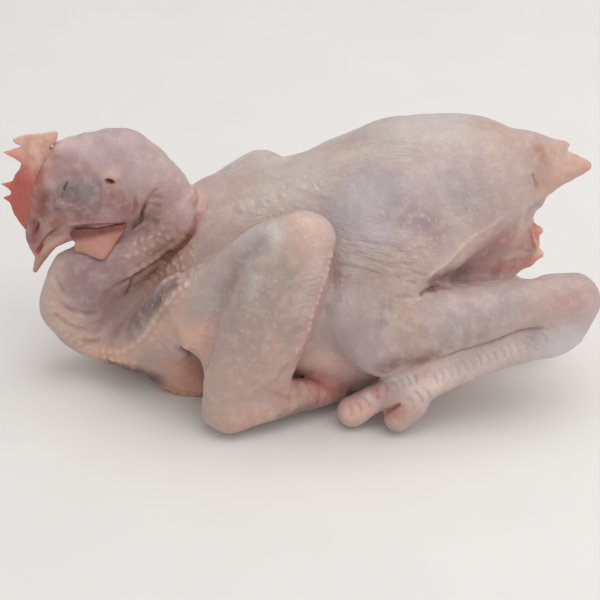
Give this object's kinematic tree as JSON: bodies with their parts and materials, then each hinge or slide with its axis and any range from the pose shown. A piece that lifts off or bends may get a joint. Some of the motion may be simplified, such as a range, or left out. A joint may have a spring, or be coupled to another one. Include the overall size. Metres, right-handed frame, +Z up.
{
  "type": "whole frozen chicken",
  "caption": "Whole plucked raw chicken lying on its breast, with head, comb, wattles and looped neck, folded wings, folded legs with trimmed toes, and a pointed tail.",
  "frame": {"origin": "middle of the bounding box at the height of the surface that the bird lies on", "axes": "+Z up, -X towards the head, +X towards the tail and the hocks, -Y towards the bird's left side"},
  "size_m": [0.289, 0.1546, 0.1338],
  "materials": {
    "skin": "moist raw skin, pale pinkish beige with mauve and peach areas"
  },
  "bodies": {
    "root": {"chicken": "skin"}
  },
  "joints": []
}
